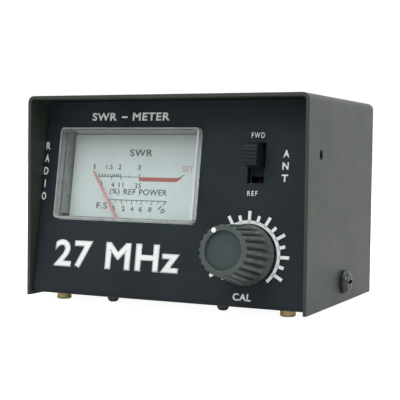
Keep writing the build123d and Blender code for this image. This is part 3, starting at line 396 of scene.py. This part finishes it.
surface_looks = {
    # The cover's paler edges are a painted sheen line, not wear.
    "cover_paint": dict(
        colour=(0.029, 0.039, 0.029), roughness=0.46, grain=0.28, relief=0.3, clouds=0.06,
        cloud_size=14, edge=0.3, worn=(0.11, 0.12, 0.11), wear=0.5, gloss=0.5,
    ),
    "panel_paint": dict(
        colour=(0.0195, 0.027, 0.0325), roughness=0.45, grain=0.3, relief=0.25, clouds=0.12,
        cloud_size=16, edge=0.25, worn=(0.25, 0.27, 0.26), wear=0.8, gloss=0.16,
    ),
    "zinc_steel": dict(
        colour=(0.52, 0.53, 0.54), roughness=0.34, metallic=1.0, grain=0.3, stretch=(1, 6, 1),
        clouds=0.12,
    ),
    "black_steel": dict(
        colour=(0.07, 0.075, 0.07), roughness=0.27, metallic=0.85, grain=0.25, relief=0.2, clouds=0.25,
        cloud_size=2.0, edge=0.22, worn=(0.6, 0.61, 0.6), wear=1.0,
    ),
    "yellow_zinc": dict(
        colour=(0.50, 0.40, 0.17), roughness=0.33, metallic=0.9, grain=0.3, relief=0.15, clouds=0.35,
        cloud_size=1.6, worn=(0.70, 0.62, 0.40), wear=0.8,
    ),
    "black_plastic": dict(colour=(0.020, 0.026, 0.024), roughness=0.45, grain=0.4, relief=0.2),
    "dial_white": dict(
        colour=(0.713, 0.781, 0.792), roughness=0.62, grain=0.22, relief=0.12, clouds=0.025,
        cloud_size=12, gloss=0.3,
    ),
    "brass": dict(
        colour=(0.60, 0.44, 0.18), roughness=0.3, metallic=1.0, grain=0.25, clouds=0.15, cloud_size=3,
        worn=(0.8, 0.66, 0.36), wear=0.6,
    ),
    "soft_iron": dict(
        colour=(0.20, 0.20, 0.21), roughness=0.45, metallic=0.9, grain=0.3, relief=0.3, clouds=0.2,
    ),
    "magnet": dict(
        colour=(0.12, 0.12, 0.13), roughness=0.4, metallic=0.8, grain=0.4, relief=0.4, clouds=0.2,
    ),
    "needle_red": dict(colour=(0.70, 0.31, 0.29), roughness=0.5, grain=0.2, relief=0.05, clouds=0.08),
    "coil_copper": dict(
        colour=(0.62, 0.27, 0.13), roughness=0.28, metallic=0.9, grain=0.12, relief=0.5,
        stretch=(1, 1, 9), clouds=0.15,
    ),
    "bright_steel": dict(
        colour=(0.62, 0.62, 0.62), roughness=0.22, metallic=1.0, grain=0.2, stretch=(8, 1, 8),
        clouds=0.08,
    ),
    "phenolic": dict(colour=(0.17, 0.085, 0.04), roughness=0.4, grain=0.3, stretch=(1, 1, 5), clouds=0.25),
    "silvered": dict(
        colour=(0.72, 0.70, 0.64), roughness=0.26, metallic=1.0, grain=0.25, clouds=0.18,
        cloud_size=2.5, worn=(0.85, 0.84, 0.8), wear=0.6,
    ),
    "slider_black": dict(
        colour=(0.015, 0.0168, 0.021), roughness=0.42, grain=0.35, relief=0.12, clouds=0.1, gloss=0.26,
        worn=(0.06, 0.06, 0.065), wear=0.7,
    ),
    "nickel": dict(
        colour=(0.60, 0.58, 0.53), roughness=0.24, metallic=1.0, grain=0.22, relief=0.12, clouds=0.12,
        cloud_size=5, worn=(0.78, 0.76, 0.70), wear=0.6,
    ),
    "board_green": dict(
        colour=(0.02, 0.10, 0.045), roughness=0.3, grain=0.5, relief=0.3, stretch=(2, 1, 1),
        clouds=0.15,
    ),
    "socket_insulator": dict(
        colour=(0.045, 0.020, 0.012), roughness=0.28, grain=0.5, relief=0.15, clouds=0.3, cloud_size=2,
    ),
    "resistor_body": dict(colour=(0.42, 0.28, 0.13), roughness=0.35, grain=0.4, clouds=0.2, cloud_size=1.5),
    "capacitor_body": dict(colour=(0.50, 0.20, 0.05), roughness=0.4, grain=0.4, clouds=0.15),
    "wire_red": dict(colour=(0.33, 0.015, 0.012), roughness=0.4, grain=0.4, clouds=0.12),
    "wire_yellow": dict(colour=(0.52, 0.32, 0.02), roughness=0.4, grain=0.4, clouds=0.12),
    "wire_black": dict(colour=(0.012, 0.012, 0.012), roughness=0.4, grain=0.4, clouds=0.12),
    "white_ink": dict(
        colour=(0.90, 0.95, 0.94), roughness=0.5, grain=0.2, relief=0.15, clouds=0.04, cloud_size=2,
    ),
    "black_ink": dict(
        colour=(0.065, 0.075, 0.075), roughness=0.55, grain=0.2, relief=0.1, clouds=0.3, cloud_size=1,
    ),
    "red_ink": dict(
        colour=(0.46, 0.105, 0.10), roughness=0.55, grain=0.2, relief=0.1, clouds=0.15, cloud_size=1,
    ),
    "pink_ink": dict(
        colour=(0.66, 0.36, 0.39), roughness=0.55, grain=0.2, relief=0.1, clouds=0.1, cloud_size=1,
    ),
}
finishes = {name: finish_surface(name, **look) for name, look in surface_looks.items()}
finishes["clear_plastic"] = window_plastic("clear_plastic", (0.966, 0.994, 0.982, 1.0))
# The knob's dark groove colour is painted shade; its pale ridge and rim-edge colours are partly wear and partly a
# painted highlight.
finishes["knob_plastic"] = fluted(
    "knob_plastic", (0.061, 0.082, 0.074), (0.012, 0.014, 0.013), (0.19, 0.21, 0.165), roughness=0.38,
    grain=0.3, relief=0.3, clouds=0.1, cloud_size=5, edge=0.3, worn=(0.24, 0.28, 0.25), wear=1.0,
    gloss=0.5,
)
finishes["knob_cap"] = ringed("knob_cap", (0.045, 0.066, 0.069), 0.42, knob_hinge)
finishes["diode_glass"] = clear_plastic("diode_glass", (0.95, 0.55, 0.25, 1.0))
for subpart in frame["record"]["subparts"]:
    slots = frame["nodes"][subpart["node"]].data.materials
    slots.clear()
    slots.append(finishes[subpart["material_slot"]])

# ---------------------------------------------------------------- printing on the panel

ink = 0.035  # how far a print stands off its surface
bold = 0.034  # how much heavier than the font a letter is, as a share of its size
small_bold = 0.016
fine = 0.012
small_spacing = 1.35
dash_width = 0.5
narrow_letter = 0.28  # the width of an I, as a share of the other letters'

panel_words = [  # text, low corner, high corner
    ("SWR", (-28.0, 53.2), (-19.4, 55.7)),
    ("METER", (-14.0, 53.2), (-1.5, 55.7)),
    ("CAL", (22.8, 2.05), (28.3, 4.15)),
    ("27 MHz", (-37.0, 8.2), (5.5, 16.6)),
]
small_words = [
    ("FWD", (24.9, 48.1), (28.9, 49.7)),
    ("REF", (24.85, 31.6), (27.95, 33.0)),
]
stacked_words = [  # text, middle, lowest, highest, letter height, letter width
    ("RADIO", -42.9, 28.5, 46.6, 2.4, 1.6),
    ("ANT", 35.75, 35.7, 44.8, 2.15, 1.9),
]

panel_print = bmesh.new()
for text, low, high in panel_words:
    word(panel_print, text, low, high, ink, weight=bold)
for text, low, high in small_words:
    word(panel_print, text, low, high, ink, weight=small_bold, spacing=small_spacing)
bar(panel_print, (-17.7, 54.3), (-15.8, 54.3), dash_width, ink)
for text, middle, lowest, highest, letter_height, letter_width in stacked_words:
    pitch = (highest - lowest - letter_height) / (len(text) - 1)
    for place, letter in enumerate(text):
        half = letter_width * (narrow_letter if letter == "I" else 1.0) / 2
        top = highest - place * pitch
        corners = (middle - half, top - letter_height), (middle + half, top)
        word(panel_print, letter, *corners, ink, weight=bold)
make_piece("panel_print", panel_print, to_panel, finishes["white_ink"], "case")

scale_inner = 9.0
scale_outer = 9.95
scale_end = 137
scale_mark = 120
marks_each_side = 8
long_mark = 12.6
short_mark = 11.6
mark_width = 0.95
scale_steps = 96
knob_centre = (knob_across, knob_up)
cal_centre = (knob_across + 0.15, knob_up - 0.1)
cal_scale = bmesh.new()
ring_sector(cal_scale, cal_centre, scale_inner, scale_outer, -scale_end, scale_end, ink, scale_steps)
for place in range(-marks_each_side, marks_each_side + 1):
    angle = place * scale_mark / marks_each_side
    reach = long_mark if place % 2 == 0 else short_mark
    start = tilted(angle, (scale_inner + scale_outer) / 2, cal_centre)
    bar(cal_scale, start, tilted(angle, reach, cal_centre), mark_width, ink)
make_piece("cal_scale", cal_scale, to_panel, finishes["white_ink"], "case")

# ---------------------------------------------------------------- printing on the dial

at_dial = to_panel @ Matrix.Translation((0, 0, dial_face * MM))
needle_start = -33.5  # degrees clockwise from straight up, at rest
needle_end = 36.0
scale_across = pivot_across - 0.25
upper_line = 36.95
lower_line = 29.85
upper_end = 0.985


def on_line(share, height):
    """The place on a level line where the needle crosses it at a share of its swing."""
    angle = math.radians(needle_start + share * (needle_end - needle_start))
    return Vector((scale_across + (height - pivot_up) * math.tan(angle), height))


def dial_tick(mesh, share, line, below, above, width):
    """A mark along the needle's direction, from below a line to above it."""
    bar(mesh, on_line(share, line - below), on_line(share, line + above), width, ink)


swr_marks = {1.0: 0.0, 1.5: 0.145, 2.0: 0.26, 2.5: 0.37, 3.0: 0.505}  # reading: share of the swing
swr_ticks = [  # reading, below the line, above it, width
    (1.5, 0.9, 0.8, 0.24),
    (2.0, 0.9, 0.9, 0.24),
    (2.5, 0.0, 0.5, 0.2),
    (3.0, 0.2, 1.0, 0.24),
]
small_ticks = 5  # parts between two readings
power_steps = 10
upper_line_width = 0.17
lower_line_width = 0.2
small_tick = (0.0, 0.8, 0.3)
dial_black = bmesh.new()
bar(dial_black, on_line(0, upper_line), on_line(swr_marks[3.0], upper_line), upper_line_width, ink)
for low_mark, high_mark in ((1.0, 1.5), (1.5, 2.0)):
    for step in range(1, small_ticks):
        share = swr_marks[low_mark] + (swr_marks[high_mark] - swr_marks[low_mark]) * step / small_ticks
        dial_tick(dial_black, share, upper_line, *small_tick)
for reading, below, above, width in swr_ticks:
    dial_tick(dial_black, swr_marks[reading], upper_line, below, above, width)
bar(dial_black, on_line(upper_end - 0.03, upper_line - 0.3), on_line(upper_end, upper_line + 1.0), 0.24, ink)

bar(dial_black, on_line(0, lower_line), on_line(1, lower_line), lower_line_width, ink)
for step in range(power_steps + 1):
    length = 1.35 if step % 2 == 0 else 0.75
    width = 0.26 if step in (0, power_steps) else 0.2
    dial_tick(dial_black, step / power_steps, lower_line, length, 0.0, width)

dial_words = [
    ("SWR", (-17.0, 43.35), (-9.35, 45.45)),
    ("1", (-29.35, 39.2), (-28.85, 40.7)),
    ("1.5", (-24.95, 39.2), (-22.75, 40.7)),
    ("2", (-20.65, 39.2), (-19.65, 40.7)),
    ("3", (-13.95, 39.2), (-12.95, 40.7)),
    ("0", (-26.85, 33.8), (-25.85, 35.3)),
    ("4", (-22.65, 33.7), (-21.65, 35.2)),
    ("11", (-20.05, 33.7), (-18.45, 35.2)),
    ("25", (-14.45, 33.6), (-12.35, 35.1)),
    ("(%)", (-23.05, 31.2), (-19.55, 33.3)),
    ("REF POWER", (-18.15, 31.5), (-3.35, 33.3)),
    ("F.S", (-27.25, 27.0), (-23.55, 28.9)),
]
for text, low, high in dial_words:
    word(dial_black, text, low, high, ink, weight=fine)
numeral_line = 27.2
numeral_drift = 0.6  # how far right of its mark the last numeral is
numeral_low = numeral_line - 0.72
numeral_high = numeral_line + 0.78
for reading in range(0, power_steps + 1, 2):
    share = reading / power_steps
    half, lean = (1.05, 1.2) if reading == power_steps else (0.55, 0.6)
    middle = on_line(share, numeral_line).x + numeral_drift * share ** 2
    angle = (needle_start + share * (needle_end - needle_start)) * lean
    corners = (middle - half, numeral_low), (middle + half, numeral_high)
    word(dial_black, str(reading), *corners, ink, weight=fine, turn=angle)
make_piece("dial_black", dial_black, at_dial, finishes["black_ink"], "case")

dial_red = bmesh.new()
band_low = upper_line - 1.2
band_outline = [
    on_line(0.503, band_low),
    on_line(upper_end - 0.025, band_low),
    on_line(upper_end, upper_line),
    on_line(swr_marks[3.0], upper_line),
]
prism(dial_red, band_outline, ink)
make_piece("dial_red_band", dial_red, at_dial, finishes["red_ink"], "case")

dial_set = bmesh.new()
word(dial_set, "SET", (1.15, 38.9), (4.65, 40.6), ink, weight=fine)
make_piece("dial_set_mark", dial_set, at_dial, finishes["pink_ink"], "case")

# ---------------------------------------------------------------- dot on the knob

dot_angle = -30
dot_radius = 0.7
dot_from_axis = 6.12
dot_flatness = 0.12
dot_root = 0.1  # how far its flat back is let into the knob
knob_dot = bmesh.new()
bmesh.ops.create_uvsphere(knob_dot, u_segments=32, v_segments=12, radius=dot_radius)
for vertex in knob_dot.verts:
    is_back = vertex.co.z < -1e-6
    vertex.co.z = -dot_root if is_back else max(vertex.co.z, 0) * dot_flatness
dot_place = tilted(dot_angle, dot_from_axis, knob_centre)
at_dot = to_panel @ Matrix.Translation(Vector((dot_place.x, dot_place.y, knob_face)) * MM)
make_piece("knob_dot", knob_dot, at_dot, finishes["white_ink"], "cal_control", smooth=True)

# ---------------------------------------------------------------- threaded socket shells

thread_pitch = 25.4 / 24
thread_depth = 0.55
tooth_height = 0.8
tooth_count = 12
tooth_gap = 0.9
tooth_steps = 8
flank_slope = 3.2
crest_share = 0.3
turn_steps = 96
rows_per_turn = 8
flange_edge = 0.15
flange_corner = 1.2
corner_steps = 6
hole_steps = 48
shell_gap = 0.02  # between a shell and its insulator
barrel_root = 0.1  # how far the barrel and the teeth are let into what carries them
tooth_root = 0.05
flange_hole_spacing = 18.2
flange_hole_radius = 1.65


def thread_cut(phase):
    """How deep the thread is at a share of its pitch: a flat crest, a flat root and two flanks."""
    return thread_depth * min(1.0, max(0.0, (0.5 - abs(phase % 1.0 - 0.5)) * flank_slope - crest_share))


def threaded_tube(mesh, inner, outer, start, end):
    """A tube along +Z with an outside thread that runs out at its end."""
    turns = (end - start) / thread_pitch
    grid = []
    for i in range(turn_steps + 1):
        share = i / turn_steps
        column = []
        for j in range(-rows_per_turn, int(turns * rows_per_turn) + 2):
            along = min(max((j / rows_per_turn + share) * thread_pitch, 0.0), end - start)
            radius = outer - thread_cut(j / rows_per_turn)
            radius = min(radius, outer - thread_depth + (end - start - along))
            column.append((radius, start + along))
        column += [(inner, end), (inner, start)]
        angle = share * math.tau
        grid.append([mesh.verts.new((r * math.cos(angle), r * math.sin(angle), z)) for r, z in column])
    for left, right in zip(grid, grid[1:]):
        for k in range(len(left)):
            following = (k + 1) % len(left)
            mesh.faces.new((left[k], right[k], right[following], left[following]))


def rim_teeth(mesh, inner, outer, start, end):
    """The teeth round a socket's rim, which the plug's teeth sit between."""
    tooth = bmesh.new()
    gap = math.degrees(tooth_gap / outer)
    pitch = 360 / tooth_count
    for place in range(tooth_count):
        first, last = place * pitch + gap / 2, (place + 1) * pitch - gap / 2
        ring_sector(tooth, (0, 0), inner, outer, first, last, end - start, tooth_steps)
    tooth.transform(Matrix.Translation((0, 0, start)))
    add_bmesh(mesh, tooth)


def add_bmesh(mesh, other):
    """Move one bmesh's faces into another."""
    data = bpy.data.meshes.new("moved")
    other.to_mesh(data)
    other.free()
    mesh.from_mesh(data)
    bpy.data.meshes.remove(data)


def flange_plate(mesh, size, thickness, inner, hole_spacing, hole_radius):
    """A square plate on z = 0 with rounded edges, a middle hole and four screw holes."""
    curve = bpy.data.curves.new("flange", "CURVE")
    curve.dimensions = "2D"
    curve.fill_mode = "BOTH"
    curve.extrude = thickness / 2 - flange_edge
    curve.bevel_depth = flange_edge
    curve.offset = -flange_edge
    outline = []
    for quarter in range(4):
        centre = Vector((1, 1)) * (size / 2 - flange_corner)
        for step in range(corner_steps + 1):
            turn = math.radians(step * 90 / corner_steps)
            point = centre + Vector((math.cos(turn), math.sin(turn))) * flange_corner
            point.rotate(Matrix.Rotation(quarter * math.pi / 2, 2))
            outline.append(point)
    holes = [((0, 0), inner)]
    holes += [((x * hole_spacing / 2, y * hole_spacing / 2), hole_radius) for x in (-1, 1) for y in (-1, 1)]
    loops = [outline]
    for centre, radius in holes:
        loops.append([tilted(-step * 360 / hole_steps, radius, centre) for step in range(hole_steps)])
    for loop in loops:
        spline = curve.splines.new("POLY")
        spline.points.add(len(loop) - 1)
        for point, place in zip(spline.points, loop):
            point.co = (*place, 0, 1)
        spline.use_cyclic_u = True
    holder = bpy.data.objects.new("flange", curve)
    plate = bpy.data.meshes.new_from_object(holder)
    plate.transform(Matrix.Translation((0, 0, thickness / 2)))
    mesh.from_mesh(plate)
    bpy.data.objects.remove(holder)
    bpy.data.curves.remove(curve)
    bpy.data.meshes.remove(plate)


def socket_shell(use):
    """A nickelled shell in place of the plain one: flange, threaded barrel and toothed rim."""
    low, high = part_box(f"{use}_socket")
    insulator_low, insulator_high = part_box(f"{use}_insulator")
    dims = mounts[f"{use}_barrel"]["dims"]
    barrel, length = dims["r_mm"], dims["length_mm"]
    inner = (insulator_high.x - insulator_low.x) / 2 / MM + shell_gap
    whole = (high.y - low.y) / MM
    thickness = whole - length
    shell = bmesh.new()
    flange_plate(shell, (high.x - low.x) / MM, thickness, inner, flange_hole_spacing, flange_hole_radius)
    threaded_tube(shell, inner, barrel, thickness - barrel_root, whole - tooth_height)
    rim_teeth(shell, inner, barrel - thread_depth, whole - tooth_height - tooth_root, whole)
    centre = Vector(((low.x + high.x) / 2, low.y, (low.z + high.z) / 2))
    facing = Matrix.Translation(centre) @ Matrix.Rotation(-math.pi / 2, 4, "X")
    piece = make_piece(f"{use}_shell", shell, facing, finishes["nickel"], "case", smooth=True)
    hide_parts(f"{use}_socket")


for use in ("radio", "antenna"):
    socket_shell(use)

# ---------------------------------------------------------------- camera, floor and light

camera_place = Vector((136.4, -295.4, 44.1)) * MM
camera_azimuth = math.radians(25.09)
camera_dip = math.radians(2.36)
camera_roll = math.radians(0.74)
forward = Vector((
    -math.sin(camera_azimuth) * math.cos(camera_dip),
    math.cos(camera_azimuth) * math.cos(camera_dip),
    -math.sin(camera_dip),
))
level = Vector((math.cos(camera_azimuth), math.sin(camera_azimuth), 0))
overhead = level.cross(forward)
right = level * math.cos(camera_roll) + overhead * math.sin(camera_roll)
above = overhead * math.cos(camera_roll) - level * math.sin(camera_roll)

lens = bpy.data.cameras.new("camera")
lens.sensor_width = 36
lens.lens = 93.2
lens.clip_start = 0.01
camera = bpy.data.objects.new("camera", lens)
camera_turn = Matrix((right, above, -forward)).transposed().to_4x4()
camera.matrix_world = Matrix.Translation(camera_place) @ camera_turn
bpy.context.scene.collection.objects.link(camera)
bpy.context.scene.camera = camera

floor_radius = 6.0
floor_light = 0.22  # how strongly the floor lights the object
floor_seen_light = 0.95  # how strongly the camera sees it glow
floor_mesh = bmesh.new()
bmesh.ops.create_circle(floor_mesh, cap_ends=True, segments=96, radius=floor_radius)
floor_data = bpy.data.meshes.new("floor")
floor_mesh.to_mesh(floor_data)
floor_mesh.free()
floor_finish = bpy.data.materials.new("floor")
floor_finish.use_nodes = True
floor_shader = floor_finish.node_tree.nodes["Principled BSDF"]
floor_shader.inputs["Base Color"].default_value = (0.55, 0.55, 0.55, 1.0)
floor_shader.inputs["Roughness"].default_value = 0.9
floor_shader.inputs["Specular IOR Level"].default_value = 0.1
floor_shader.inputs["Emission Color"].default_value = white
floor_seen = add_node(floor_finish, "LightPath").outputs["Is Camera Ray"]
floor_glow = remap(floor_finish, floor_seen, 0.0, 1.0, floor_light, floor_seen_light)
floor_finish.node_tree.links.new(floor_glow, floor_shader.inputs["Emission Strength"])
floor_data.materials.append(floor_finish)
floor = bpy.data.objects.new("floor", floor_data)
bpy.context.scene.collection.objects.link(floor)

front_glow = 0.52
rear_glow = 1.05
glow_starts, glow_ends = -0.3, 0.6  # directions along Y between which the glow changes

# White paper all round, as the camera sees it, which lights the object less from the front.
world = bpy.data.worlds.new("studio")
world.use_nodes = True
direction = add_node(world, "TexCoord").outputs["Generated"]
behind = add_node(world, "SeparateXYZ", {"Vector": direction}).outputs["Y"]
glow = remap(world, behind, glow_starts, glow_ends, front_glow, rear_glow)
seen = add_node(world, "LightPath").outputs["Is Camera Ray"]
strength = calculate(world, "MAXIMUM", glow, seen)
backdrop = world.node_tree.nodes["Background"]
backdrop.inputs["Color"].default_value = white
world.node_tree.links.new(strength, backdrop.inputs["Strength"])
bpy.context.scene.world = world
bpy.context.scene.view_settings.view_transform = "Standard"

lights = [  # name, place, size, power
    ("key", (-0.25, -0.75, 0.95), 0.7, 5.2),
    ("overhead", (0.05, 0.1, 0.9), 0.8, 3.6),
    ("side", (0.9, -0.25, 0.5), 0.5, 2.2),
]
for name, place, size, power in lights:
    data = bpy.data.lights.new(name, "AREA")
    data.size = size
    data.energy = power
    light = bpy.data.objects.new(name, data)
    light.location = place
    light.rotation_euler = (-Vector(place)).to_track_quat("-Z", "Y").to_euler()
    bpy.context.scene.collection.objects.link(light)
